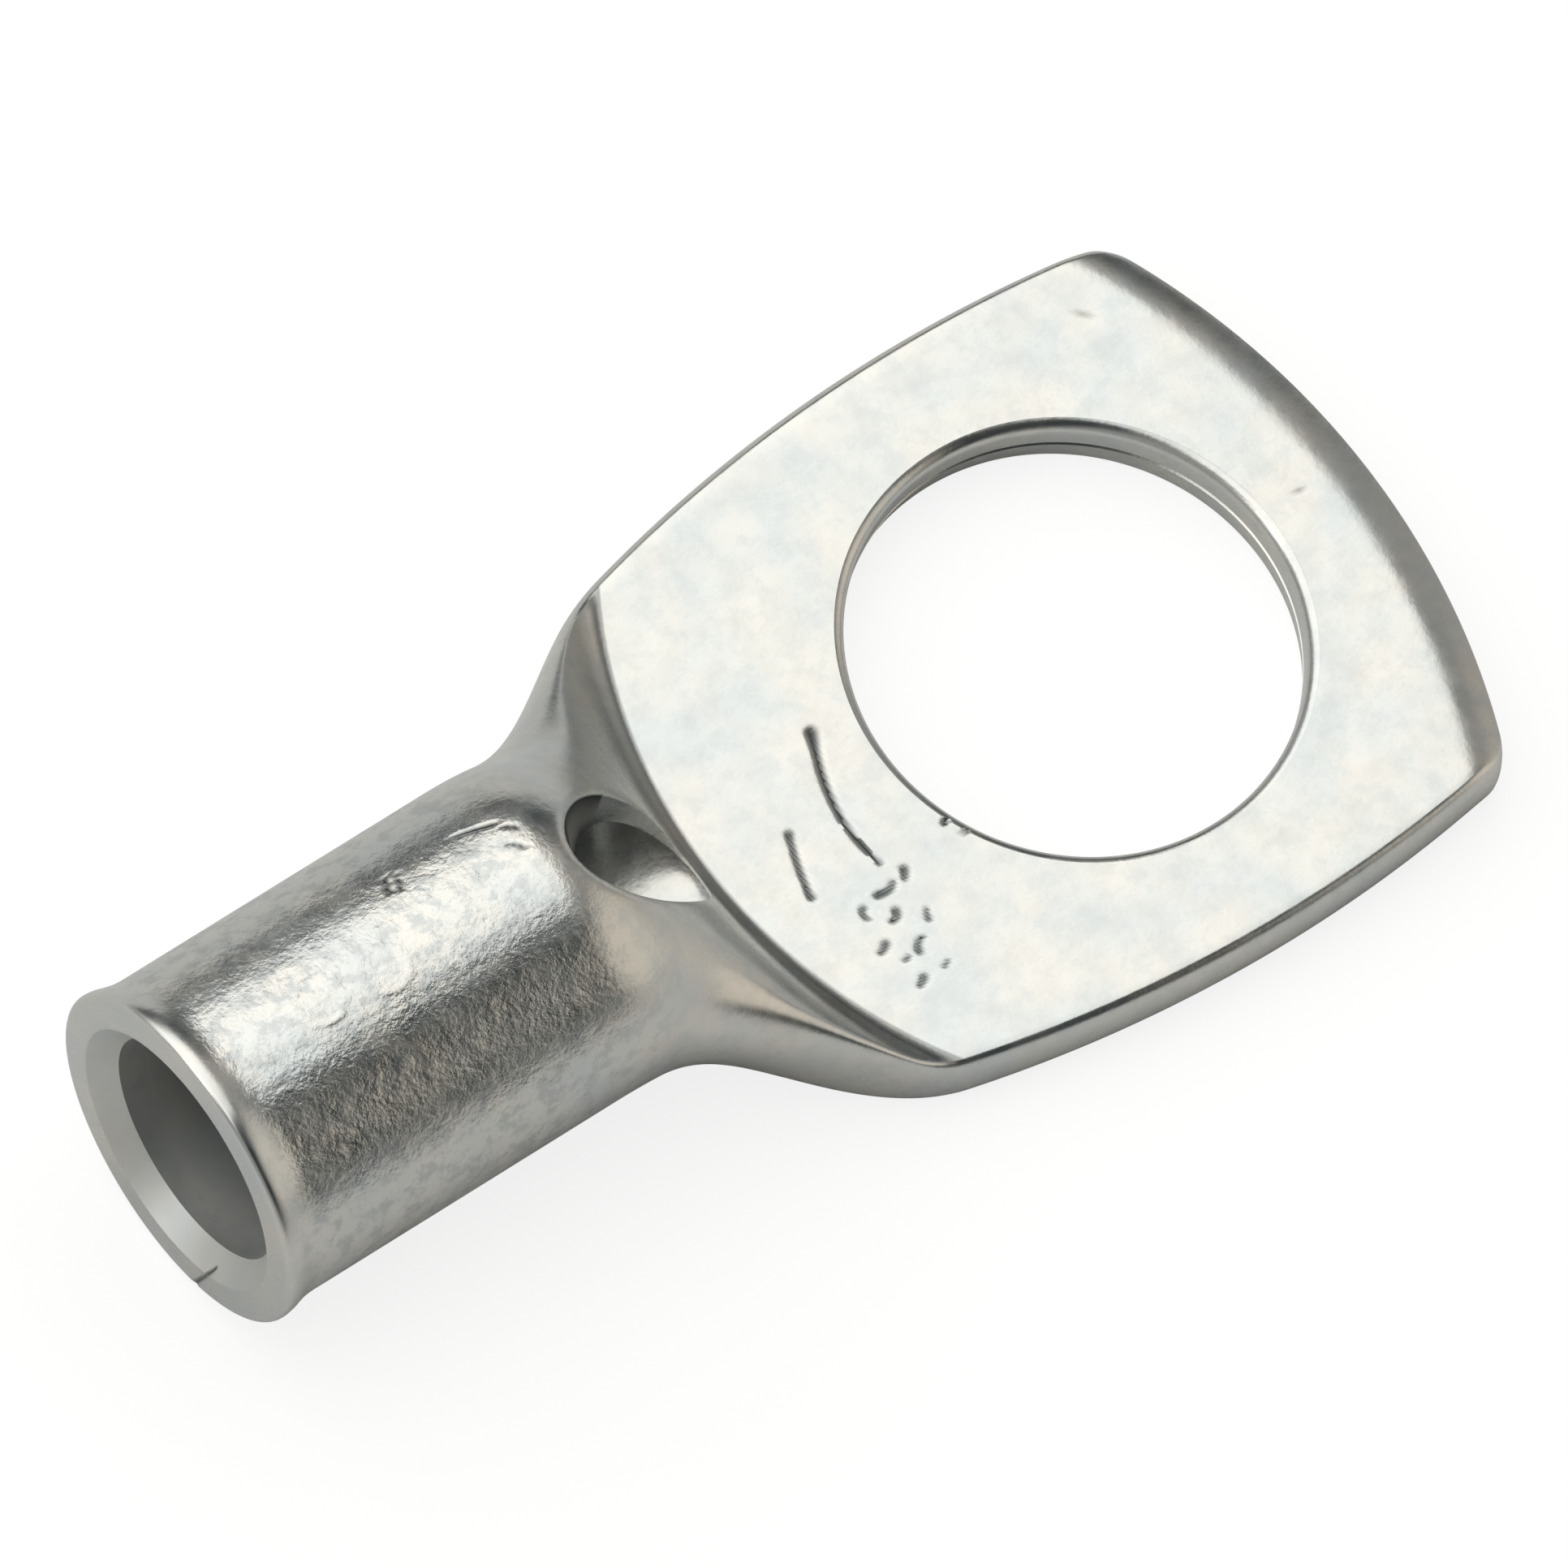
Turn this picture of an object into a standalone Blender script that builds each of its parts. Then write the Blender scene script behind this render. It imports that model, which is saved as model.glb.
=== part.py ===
"""Tubular cable lug: a tinned copper tube, pressed flat at one end and punched for a stud.

The lug is one piece. Its round barrel takes the conductor, its flat palm takes the stud, and
between them the pressed shoulder falls from the barrel to the palm. X runs from the barrel's
mouth to the palm's tip, Z is up and the palm lies on Z = 0. The origin is the bottom centre of
the lug's box. Sizes are in millimetres, and become metres where the mesh is made.
"""

import math

import bmesh
import bpy

MM = 0.001
NAME = "tubular_cable_lug"

# The barrel
CONDUCTOR_BORE = 7.0
BARREL_WALL = 1.5
BARREL_LENGTH = 13.4
MOUTH_FLARE = 0.2
MOUTH_FLARE_LENGTH = 1.4
MOUTH_EDGE = 0.2
BORE_BEVEL = 0.65

# The palm: its lands are the metal left between the stud hole and each edge
STUD_HOLE = 13.0
PALM_THICKNESS = 2.1
ROOT_LAND = 6.4
TIP_LAND = 3.7
ROOT_SIDE_LAND = 2.45
TIP_SIDE_LAND = 3.1
ROOT_ARC_RISE = 2.82
TIP_ARC_RISE = 2.2
SIDE_BULGE = 0.95
SIDE_EDGE_REACH = 0.45
TIP_CORNER_RADIUS = 0.5
TIP_ROLL_DEPTH = 0.45
TIP_ROLL_LENGTH = 1.6
TIP_ROLL_POWER = 2.2
TIP_FOOT_RADIUS = 0.2

# The punched edge of the stud hole, which opens a little below the fold's seam
HOLE_ENTRY_RADIUS = 0.4
HOLE_EXIT_RADIUS = 0.15
HOLE_BREAKOUT = 0.12
HOLE_RIM_LEAN = math.radians(12)
SEAM_WIDTH = 0.16
SEAM_DEPTH = 0.12

# The shoulder
SHOULDER_LENGTH = 5.45
SHOULDER_LEAD = 1.6
CAVITY_LEAD = 1.1
CAVITY_END_GAP = 0.16
CAVITY_SIDE_WALL = 1.9
CAVITY_TO_ROOT = 3.0

# The inspection hole in the shoulder's upper wall, and the pressed floor seen through it
SIGHT_LENGTH = 5.4
SIGHT_WIDTH = 3.9
SIGHT_TO_ROOT = 3.2
SIGHT_FOOT_LENGTH = 3.1
SIGHT_FOOT_WIDTH = 5.8
SIGHT_FOOT_TO_ROOT = 1.9
SIGHT_FLOOR_LOW = 1.55
SIGHT_FLOOR_HIGH = 2.0

# The shares of a rise over which it bends in at its start and settles at its end
SHOULDER_BENDS = (0.9, 0.08)
HOLLOW_BENDS = (0.7, 0.1)
FLATTEN_BENDS = (0.7, 0.2)
FLARE_BENDS = (0.3, 0.6)

# How finely the shapes are stepped
QUARTER_POINTS = 12
EDGE_STEPS = 4
SHOULDER_STEPS = 20
PALM_STEPS = 13
CORNER_STEPS = 5
HOLE_STEPS = 72
BARREL_STEPS = 12
SIGHT_STEPS = 48
SETTLE_ROUNDS = 6
SMOOTH_ANGLE = math.radians(35)
WELD_REACH = 0.001

# Sizes that follow from the ones above
ROOT_TO_STUD = ROOT_LAND + STUD_HOLE / 2
LENGTH = BARREL_LENGTH + SHOULDER_LENGTH + ROOT_TO_STUD + STUD_HOLE / 2 + TIP_LAND
MOUTH_X = -LENGTH / 2
TIP_X = LENGTH / 2
BARREL_END_X = MOUTH_X + BARREL_LENGTH
ROOT_X = BARREL_END_X + SHOULDER_LENGTH
STUD_X = ROOT_X + ROOT_TO_STUD
ROOT_HALF_WIDTH = STUD_HOLE / 2 + ROOT_SIDE_LAND
TIP_HALF_WIDTH = STUD_HOLE / 2 + TIP_SIDE_LAND
BORE_RADIUS = CONDUCTOR_BORE / 2
BARREL_RADIUS = BORE_RADIUS + BARREL_WALL
AXIS_Z = BARREL_RADIUS + MOUTH_FLARE
SEAM_Z = PALM_THICKNESS / 2


def mix(start, end, share):
    """The value a given share of the way from start to end."""
    return start + (end - start) * share


def ramp(share, bends):
    """A rise from 0 to 1 that bends over the first and last shares and is straight between."""
    bend_in, bend_out = bends
    share = min(max(share, 0.0), 1.0)
    steepness = 1 / (1 - bend_in / 2 - bend_out / 2)
    if share < bend_in:
        return steepness * share * share / (2 * bend_in)
    if share > 1 - bend_out:
        return 1 - steepness * (1 - share) ** 2 / (2 * bend_out)
    return steepness * (share - bend_in / 2)


def sagitta(radius, y):
    """How far an arc of this radius falls away from its crown at a distance y to the side."""
    return radius - math.sqrt(radius * radius - y * y)


def arc_radius(half_width, rise):
    """The radius of an arc that rises this far over its half width."""
    return (half_width * half_width + rise * rise) / (2 * rise)


ROOT_ARC_RADIUS = arc_radius(ROOT_HALF_WIDTH, ROOT_ARC_RISE)
TIP_ARC_RADIUS = arc_radius(TIP_HALF_WIDTH, TIP_ARC_RISE)


def ring_shape(half_width, reach, flat_top, flat_bottom):
    """Points round one section, as (y, share of the height above or below the middle).

    A flat share of 0 is a round section and 1 is a flat one with edges of the given reach.
    """
    quarter = QUARTER_POINTS
    edge = EDGE_STEPS
    points = []
    for index in range(4 * quarter):
        turn = math.pi / 2 * index / quarter
        step = index % (2 * quarter)
        from_side = min(step, 2 * quarter - step)
        if from_side <= edge:
            lean = math.pi / 2 * from_side / edge
            flat_y = half_width - reach * (1 - math.cos(lean))
            flat_z = math.sin(lean)
        else:
            flat_y = (half_width - reach) * (quarter - from_side) / (quarter - edge)
            flat_z = 1.0
        if quarter < index < 3 * quarter:
            flat_y = -flat_y
        lower = index > 2 * quarter
        if lower:
            flat_z = -flat_z
        flatness = flat_bottom if lower else flat_top
        y = mix(half_width * math.cos(turn), flat_y, flatness)
        height = mix(math.sin(turn), flat_z, flatness)
        points.append((y, height))
    return points


def ring(x, half_width, top, bottom, flat_top=0.0, flat_bottom=0.0, reach=0.0, bow=None):
    """One section of the lug as 3-D points. bow gives how far X moves at each distance y."""
    middle = (top + bottom) / 2
    half_height = (top - bottom) / 2
    points = []
    for y, height in ring_shape(half_width, reach, flat_top, flat_bottom):
        shift = bow(y) if bow else 0.0
        points.append((x + shift, y, middle + half_height * height))
    return points


def round_ring(x, radius):
    """A round section about the barrel's axis."""
    return ring(x, radius, AXIS_Z + radius, AXIS_Z - radius)


def palm_bow(share):
    """The curve of the palm's cross lines, from the root's arc to the tip's arc."""
    def bow(y):
        return mix(sagitta(ROOT_ARC_RADIUS, y), -sagitta(TIP_ARC_RADIUS, y), share)
    return bow


def root_corner_x():
    """Where the palm's root meets its sides."""
    return ROOT_X + ROOT_ARC_RISE


def tip_corner_x():
    """Where the palm's tip meets its sides."""
    return TIP_X - TIP_ARC_RISE


def palm_side(x):
    """Half the palm's width at X: an arc that stands SIDE_BULGE proud of its chord."""
    start = root_corner_x()
    length = tip_corner_x() - start
    along = x - start - length / 2
    chord = mix(ROOT_HALF_WIDTH, TIP_HALF_WIDTH, (x - start) / length)
    return chord + SIDE_BULGE - sagitta(arc_radius(length / 2, SIDE_BULGE), along)


def palm_side_slope():
    """How fast the palm widens where its sides begin."""
    length = tip_corner_x() - root_corner_x()
    rise = (length / 2) / (arc_radius(length / 2, SIDE_BULGE) - SIDE_BULGE)
    return (TIP_HALF_WIDTH - ROOT_HALF_WIDTH) / length + rise


def flank_side(x):
    """Half the shoulder's width at X, from the barrel's side to the palm's."""
    start = BARREL_END_X
    end = root_corner_x()
    if x <= start:
        return BARREL_RADIUS
    length = end - start
    share = (x - start) / length
    slope = palm_side_slope()
    smooth = share * share * (3 - 2 * share)
    easing = share * share * (share - 1) * length * slope
    return mix(BARREL_RADIUS, ROOT_HALF_WIDTH, smooth) + easing


def side_on(x, bow, side):
    """Half the width of a bowed section whose middle lies at X."""
    half_width = side(x)
    for _ in range(SETTLE_ROUNDS):
        half_width = side(min(x + bow(half_width), tip_corner_x()))
    return half_width


def bore_rings():
    """The hollow, from its closed end by the pressed floor out to the mouth."""
    rings = []
    start_x = BARREL_END_X - CAVITY_LEAD
    end_x = ROOT_X - CAVITY_TO_ROOT
    end_z = SIGHT_FLOOR_LOW + CAVITY_END_GAP / 2
    for step in range(SHOULDER_STEPS, -1, -1):
        share = step / SHOULDER_STEPS
        fall = ramp(share, HOLLOW_BENDS)
        top = mix(AXIS_Z + BORE_RADIUS, end_z + CAVITY_END_GAP / 2, fall)
        bottom = mix(AXIS_Z - BORE_RADIUS, end_z - CAVITY_END_GAP / 2, fall)
        x = mix(start_x, end_x, share)
        bow = root_bow(share)
        half_width = side_on(x, bow, flank_side) - mix(BARREL_WALL, CAVITY_SIDE_WALL, share)
        rings.append(ring(x, half_width, top, bottom, flat_share(share), flat_share(share),
                          (top - bottom) / 2, bow))
    mouth_radius = BORE_RADIUS + BORE_BEVEL
    rings.append(round_ring(mix(start_x, MOUTH_X, 0.5), BORE_RADIUS))
    rings.append(round_ring(MOUTH_X + BORE_BEVEL, BORE_RADIUS))
    rings.append(round_ring(MOUTH_X, mouth_radius))
    return rings


def shoulder_top(x):
    """The height of the shoulder's ridge at X. It begins to fall a little before the sides."""
    start = BARREL_END_X - SHOULDER_LEAD
    fall = ramp((x - start) / (ROOT_X - start), SHOULDER_BENDS)
    return mix(AXIS_Z + BARREL_RADIUS, PALM_THICKNESS, fall)


def root_bow(share):
    """How the shoulder's cross lines bend into the root's arc."""
    def bow(y):
        return sagitta(ROOT_ARC_RADIUS, y) * share * share
    return bow


def flat_share(share):
    """How flat the shoulder's section is at a share of the way to the palm."""
    return ramp(share, FLATTEN_BENDS)


def mouth_rings():
    """The flared lip at the mouth, from its face round the edge to the plain barrel."""
    lip_radius = BARREL_RADIUS + MOUTH_FLARE
    rings = []
    for step in range(EDGE_STEPS + 1):
        turn = math.pi / 2 * step / EDGE_STEPS
        radius = lip_radius - MOUTH_EDGE * (1 - math.sin(turn))
        rings.append(round_ring(MOUTH_X + MOUTH_EDGE * (1 - math.cos(turn)), radius))
    for step in range(1, EDGE_STEPS + 1):
        share = step / EDGE_STEPS
        radius = mix(lip_radius, BARREL_RADIUS, ramp(share, FLARE_BENDS))
        rings.append(round_ring(MOUTH_X + mix(MOUTH_EDGE, MOUTH_FLARE_LENGTH, share), radius))
    return rings


def shoulder_rings():
    """The barrel and the pressed shoulder, up to the palm's root."""
    rings = []
    barrel_bottom = AXIS_Z - BARREL_RADIUS
    for step in range(1, BARREL_STEPS):
        x = mix(MOUTH_X + MOUTH_FLARE_LENGTH, BARREL_END_X, step / BARREL_STEPS)
        rings.append(ring(x, BARREL_RADIUS, shoulder_top(x), barrel_bottom))
    for step in range(SHOULDER_STEPS + 1):
        share = step / SHOULDER_STEPS
        x = mix(BARREL_END_X, ROOT_X, share)
        top = shoulder_top(x)
        bottom = mix(barrel_bottom, 0.0, share)
        bow = root_bow(share)
        half_width = side_on(x, bow, flank_side)
        reach = mix((top - bottom) / 2, SIDE_EDGE_REACH, share)
        rings.append(ring(x, half_width, top, bottom, flat_share(share), flat_share(share),
                          reach, bow))
    return rings


def tip_top(distance):
    """The height of the palm's upper face at a distance in from the tip."""
    share = max(1 - distance / TIP_ROLL_LENGTH, 0.0)
    return PALM_THICKNESS - TIP_ROLL_DEPTH * share ** TIP_ROLL_POWER


def palm_rings():
    """The palm, from just past its root to its rounded tip."""
    roll_x = TIP_X - TIP_ROLL_LENGTH
    rings = []
    for step in range(1, PALM_STEPS + 1):
        share = step / PALM_STEPS
        bow = palm_bow(share)
        x = mix(ROOT_X, roll_x, share)
        half_width = side_on(x, bow, palm_side)
        rings.append(ring(x, half_width, PALM_THICKNESS, 0.0, 1.0, 1.0, SIDE_EDGE_REACH, bow))
    bow = palm_bow(1.0)
    distances = [mix(TIP_ROLL_LENGTH, TIP_CORNER_RADIUS, 1 / 3)]
    for step in range(CORNER_STEPS + 1):
        distances.append(TIP_CORNER_RADIUS * (1 - math.sin(math.pi / 2 * step / CORNER_STEPS)))
    for distance in distances:
        x = TIP_X - distance
        half_width = side_on(x, bow, palm_side)
        inward = max(TIP_CORNER_RADIUS - distance, 0.0)
        half_width -= sagitta(TIP_CORNER_RADIUS, inward)
        foot = sagitta(TIP_FOOT_RADIUS, max(TIP_FOOT_RADIUS - distance, 0.0))
        rings.append(ring(x, half_width, tip_top(distance), foot, 1.0, 1.0,
                          SIDE_EDGE_REACH, bow))
    return rings


def close_flat(mesh, vertices, rows):
    """Close a flattened ring with strips between its upper and lower halves.

    rows gives each strip's line between the halves, as (share of the way down, shift in X).
    """
    half = len(vertices) // 2
    left = vertices[0]
    right = vertices[half]
    columns = [[left] * (len(rows) + 2)]
    for index in range(1, half):
        upper = vertices[index]
        lower = vertices[-index]
        column = [upper]
        for share, shift in rows:
            place = upper.co.lerp(lower.co, share)
            place.x += shift * MM
            column.append(mesh.verts.new(place))
        column.append(lower)
        columns.append(column)
    columns.append([right] * (len(rows) + 2))
    for first, second in zip(columns, columns[1:]):
        for row in range(len(rows) + 1):
            corners = [first[row], second[row], second[row + 1], first[row + 1]]
            corners = list(dict.fromkeys(corners))
            mesh.faces.new(corners)


def loft(rings, start_rows, end_rows):
    """One closed mesh through all the rings, closed at both flattened ends."""
    mesh = bmesh.new()
    lines = []
    for points in rings:
        lines.append([mesh.verts.new([value * MM for value in point]) for point in points])
    count = len(lines[0])
    for first, second in zip(lines, lines[1:]):
        for index in range(count):
            following = (index + 1) % count
            mesh.faces.new((first[index], second[index], second[following], first[following]))
    close_flat(mesh, lines[0], start_rows)
    close_flat(mesh, lines[-1], end_rows)
    bmesh.ops.recalc_face_normals(mesh, faces=mesh.faces)
    return mesh


def tinned_copper():
    """Matt electro-tinned copper: pale grey, metallic and softly rough."""
    material = bpy.data.materials.new("tinned_copper")
    material.use_nodes = True
    shader = material.node_tree.nodes["Principled BSDF"]
    shader.inputs["Base Color"].default_value = (0.72, 0.72, 0.70, 1.0)
    shader.inputs["Metallic"].default_value = 1.0
    shader.inputs["Roughness"].default_value = 0.34
    return material


def add_object(name, mesh, collection):
    """A new object from a bmesh, which is freed."""
    data = bpy.data.meshes.new(name)
    mesh.to_mesh(data)
    mesh.free()
    item = bpy.data.objects.new(name, data)
    collection.objects.link(item)
    return item


def make_cutter(item):
    """Keep a cutter out of renders and show it as wire."""
    item.hide_render = True
    item.display_type = "WIRE"
    return item


def rim_profile(radius, rim_radius, outer_z, outward):
    """A punched edge in profile, from a flared lead outside the face to the plain bore."""
    lead = PALM_THICKNESS
    spread = lead * math.tan(HOLE_RIM_LEAN)
    points = [(radius + rim_radius + spread, outer_z + outward * lead)]
    for step in range(EDGE_STEPS + 1):
        turn = mix(HOLE_RIM_LEAN, math.pi / 2, step / EDGE_STEPS)
        points.append((radius + rim_radius * (1 - math.sin(turn)),
                       outer_z - outward * rim_radius * (1 - math.cos(turn))))
    return points


def add_stud_cutter(collection):
    """The punched stud hole: a bore with rounded rims and the fold's seam in its wall."""
    radius = STUD_HOLE / 2
    entry = rim_profile(radius, HOLE_ENTRY_RADIUS, PALM_THICKNESS, 1)
    leave = rim_profile(radius + HOLE_BREAKOUT, HOLE_EXIT_RADIUS, 0.0, -1)
    seam = [(radius, SEAM_Z + SEAM_WIDTH / 2), (radius + SEAM_DEPTH, SEAM_Z),
            (radius, SEAM_Z - SEAM_WIDTH / 2)]
    profile = [(0.0, entry[0][1])] + entry + seam + leave[::-1] + [(0.0, leave[0][1])]
    mesh = bmesh.new()
    corners = [mesh.verts.new((x * MM, 0.0, z * MM)) for x, z in profile]
    for first, second in zip(corners, corners[1:]):
        mesh.edges.new((first, second))
    item = make_cutter(add_object("stud_hole_cutter", mesh, collection))
    item.location.x = STUD_X * MM
    turned = item.modifiers.new("turned", "SCREW")
    turned.steps = HOLE_STEPS
    turned.render_steps = HOLE_STEPS
    turned.use_merge_vertices = True
    turned.merge_threshold = WELD_REACH * MM
    return item


def skin_height(x, y):
    """The height of the shoulder's skin near its ridge."""
    share = max((x - BARREL_END_X) / SHOULDER_LENGTH, 0.0)
    ridge_x = x - sagitta(ROOT_ARC_RADIUS, y) * share * share
    round_drop = sagitta(BARREL_RADIUS, y)
    return shoulder_top(ridge_x) - mix(round_drop, 0.0, flat_share(share))


def add_sight_cutter(collection):
    """The inspection hole's cutter, which opens from the skin down to the pressed floor."""
    centre_x = ROOT_X - SIGHT_TO_ROOT
    foot_x = ROOT_X - SIGHT_FOOT_TO_ROOT
    high_z = AXIS_Z + BARREL_RADIUS + BARREL_WALL
    mesh = bmesh.new()
    rows = [[], [], []]
    for step in range(SIGHT_STEPS):
        turn = 2 * math.pi * step / SIGHT_STEPS
        along = math.cos(turn) / 2
        across = math.sin(turn) / 2
        x = centre_x + SIGHT_LENGTH * along
        y = SIGHT_WIDTH * across
        foot = (foot_x + SIGHT_FOOT_LENGTH * along, SIGHT_FOOT_WIDTH * across,
                mix(SIGHT_FLOOR_LOW, SIGHT_FLOOR_HIGH, (1 + math.cos(turn)) / 2))
        for row, place in zip(rows, ((x, y, high_z), (x, y, skin_height(x, y)), foot)):
            row.append(mesh.verts.new([value * MM for value in place]))
    mesh.faces.new(rows[0])
    mesh.faces.new(list(reversed(rows[-1])))
    for upper, lower in zip(rows, rows[1:]):
        for index in range(SIGHT_STEPS):
            following = (index + 1) % SIGHT_STEPS
            mesh.faces.new((upper[index], lower[index], lower[following], upper[following]))
    bmesh.ops.recalc_face_normals(mesh, faces=mesh.faces)
    return make_cutter(add_object("inspection_hole_cutter", mesh, collection))


def cut(item, cutter):
    """Take the cutter's shape out of the item."""
    step = item.modifiers.new(cutter.name, "BOOLEAN")
    step.operation = "DIFFERENCE"
    step.solver = "EXACT"
    step.object = cutter


def add_lug(collection):
    """The whole lug before its two holes are punched."""
    rings = bore_rings() + mouth_rings() + shoulder_rings() + palm_rings()
    seam_half = SEAM_WIDTH / PALM_THICKNESS / 2
    seam_rows = [(0.5 - seam_half, 0.0), (0.5, -SEAM_DEPTH), (0.5 + seam_half, 0.0)]
    item = add_object(NAME, loft(rings, [], seam_rows), collection)
    item.data.materials.append(tinned_copper())
    item.data.shade_smooth()
    item.data.set_sharp_from_angle(angle=SMOOTH_ANGLE)
    return item


def clear_scene():
    """Start from an empty scene."""
    for item in list(bpy.data.objects):
        bpy.data.objects.remove(item, do_unlink=True)


def new_collection(name):
    """A collection linked to the scene."""
    collection = bpy.data.collections.new(name)
    bpy.context.scene.collection.children.link(collection)
    return collection


def main():
    """Model the lug."""
    clear_scene()
    parts = new_collection("cable_lug")
    cutters = new_collection("cutters")
    lug = add_lug(parts)
    cut(lug, add_stud_cutter(cutters))
    cut(lug, add_sight_cutter(cutters))


main()
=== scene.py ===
"""A tubular cable lug of tinned copper, lying on a pale studio floor.

The lug is one piece, so the scene has one piece: a fine mesh through the same sections as the
solid, with the punched edges, die marks and scratches that the tube picks up in the press.
Shapes are worked out in millimetres and become metres where the mesh is made.
"""

import math

import bmesh
import bpy
import numpy as np
from bpy.props import FloatProperty, FloatVectorProperty, PointerProperty, StringProperty
from mathutils import Matrix, Vector


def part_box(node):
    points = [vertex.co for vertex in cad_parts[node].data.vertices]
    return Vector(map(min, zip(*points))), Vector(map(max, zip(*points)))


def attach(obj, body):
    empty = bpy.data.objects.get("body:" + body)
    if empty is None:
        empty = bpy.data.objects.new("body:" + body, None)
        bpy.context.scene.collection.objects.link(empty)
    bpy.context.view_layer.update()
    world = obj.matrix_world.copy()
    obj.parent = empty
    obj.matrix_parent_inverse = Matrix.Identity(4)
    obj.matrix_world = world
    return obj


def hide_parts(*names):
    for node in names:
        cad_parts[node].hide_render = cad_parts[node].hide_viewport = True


bl_info = {
    "name": "Tubular Cable Lug",
    "version": (1, 0, 0),
    "blender": (4, 5, 0),
    "location": "3D View > Sidebar > Cable Lug",
    "description": "Builds a tinned copper cable lug and the studio it lies in",
    "category": "Add Mesh",
}

MM = 0.001
NODE = "tubular_cable_lug"
PIECE = "lug_tinned_copper"
BODY = "root"

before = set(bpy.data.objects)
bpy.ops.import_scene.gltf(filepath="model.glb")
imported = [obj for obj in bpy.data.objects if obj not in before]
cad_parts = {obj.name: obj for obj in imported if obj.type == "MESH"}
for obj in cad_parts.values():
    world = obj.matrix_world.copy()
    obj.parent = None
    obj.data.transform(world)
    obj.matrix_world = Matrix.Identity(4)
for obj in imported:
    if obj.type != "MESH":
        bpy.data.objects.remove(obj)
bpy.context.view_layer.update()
LOW, HIGH = [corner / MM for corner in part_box(NODE)]


def setting(kind, name, value, description, **limits):
    """A setting on the panel."""
    return kind(name=name, default=value, description=description, **limits)


def length(name, millimetres, description):
    """A size on the panel, given here in millimetres and kept in metres."""
    return setting(FloatProperty, name, millimetres * MM, description, unit="LENGTH",
                   precision=5)


class LugSizes(bpy.types.PropertyGroup):
    """The sizes of the lug. What isn't here follows from them."""

    conductor_bore: length("Conductor bore", 7.0, "Inside diameter of the barrel")
    barrel_wall: length("Barrel wall", 1.5, "Thickness of the tube's wall")
    barrel_length: length("Barrel length", 13.4, "From the mouth to the start of the shoulder")
    mouth_flare: length("Mouth flare", 0.2, "How far the lip stands out of the barrel")
    mouth_flare_length: length("Flare length", 1.4, "How far the flare reaches along the barrel")
    mouth_edge: length("Mouth edge", 0.2, "Rounding of the lip's outer edge")
    bore_bevel: length("Bore bevel", 0.65, "Bevel inside the mouth")
    stud_hole: length("Stud hole", 13.0, "Diameter of the punched hole in the palm")
    palm_thickness: length("Palm thickness", 2.1, "Both pressed walls together")
    root_land: length("Root land", 6.4, "Metal between the stud hole and the palm's root")
    root_side_land: length("Root side land", 2.45, "How far the root stands wider than the hole")
    tip_side_land: length("Tip side land", 3.1, "How far the tip stands wider than the hole")
    root_arc_rise: length("Root arc rise", 2.82, "Depth of the arc where the palm begins")
    tip_arc_rise: length("Tip arc rise", 2.2, "Depth of the arc at the palm's tip")
    side_bulge: length("Side bulge", 0.95, "How far the palm's sides bow out")
    side_edge_reach: length("Side edge reach", 0.45, "Rounding of the folded side edges")
    tip_corner_radius: length("Tip corner radius", 0.5, "Rounding of the tip's corners")
    tip_roll_depth: length("Tip roll depth", 0.45, "How far the upper face falls at the tip")
    tip_roll_length: length("Tip roll length", 1.6, "Where that fall begins")
    tip_foot_radius: length("Tip foot radius", 0.2, "Rounding under the tip")
    hole_entry_radius: length("Hole entry radius", 0.4, "Rolled edge where the punch went in")
    hole_exit_radius: length("Hole exit radius", 0.15, "Edge where the punch came out")
    hole_breakout: length("Hole breakout", 0.12, "How much wider the hole is at its exit")
    seam_width: length("Seam width", 0.16, "Line between the two pressed walls")
    seam_depth: length("Seam depth", 0.12, "Depth of that line")
    shoulder_length: length("Shoulder length", 5.45, "From the barrel to the palm's root")
    shoulder_lead: length("Shoulder lead", 1.6, "How far before its sides the shoulder falls")
    cavity_lead: length("Cavity lead", 1.1, "How far ahead of the shoulder the hollow falls")
    cavity_end_gap: length("Cavity end gap", 0.16, "Height of the hollow where it closes")
    cavity_side_wall: length("Cavity side wall", 1.9, "Wall beside the hollow's closed end")
    cavity_to_root: length("Cavity to root", 3.0, "From the hollow's closed end to the palm's root")
    sight_length: length("Inspection hole length", 5.4, "Along X, as the press drew it out")
    sight_width: length("Inspection hole width", 3.9, "Across the lug, as it was drilled")
    sight_to_root: length("Inspection hole to root", 3.2, "From its centre to the palm's root")
    sight_foot_length: length("Floor length", 3.1, "Of the pressed floor seen through the hole")
    sight_foot_width: length("Floor width", 5.8, "Across that floor")
    sight_foot_to_root: length("Floor to root", 1.9, "From the floor's middle to the palm's root")
    sight_floor_low: length("Floor at the bore", 1.55, "Height of the floor's low end")
    sight_floor_high: length("Floor at the palm", 2.0, "Height of the floor's high end")
    sight_lip: length("Inspection hole lip", 0.3, "How far the hole's edge is drawn in")


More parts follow.
